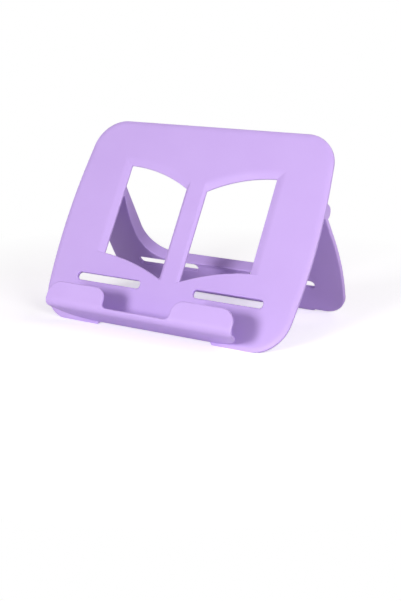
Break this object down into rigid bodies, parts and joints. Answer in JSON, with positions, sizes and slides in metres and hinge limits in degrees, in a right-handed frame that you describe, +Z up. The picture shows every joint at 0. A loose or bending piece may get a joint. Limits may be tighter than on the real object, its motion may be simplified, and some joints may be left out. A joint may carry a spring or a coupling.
{
  "type": "folding bookstand rack",
  "caption": "Folding bookstand: slanted moulded back rest with page-shaped windows, slots and a book ledge, propped by a rear leg that folds flat on hinge pins.",
  "frame": {"origin": "on the table under the middle of the open stand's bounding box", "axes": "+X to the right seen from the front, +Y towards the rear leg, +Z up; the front of the back rest and the ledge face -Y"},
  "size_m": [0.286, 0.1906, 0.1866],
  "materials": {
    "lilac_plastic": "satin moulded",
    "steel": "drawn"
  },
  "bodies": {
    "panel": {"front_panel": "lilac_plastic", "hinge_pin_right": "steel", "hinge_pin_left": "steel"},
    "leg": {"rear_leg": "lilac_plastic"}
  },
  "joints": [
    {"name": "leg_fold", "type": "hinge", "parent": "panel", "child": "leg", "pos_m": [0, 0.02487, 0.11853], "axis": [-1, 0, 0], "range_deg": [0, 60.3]}
  ]
}
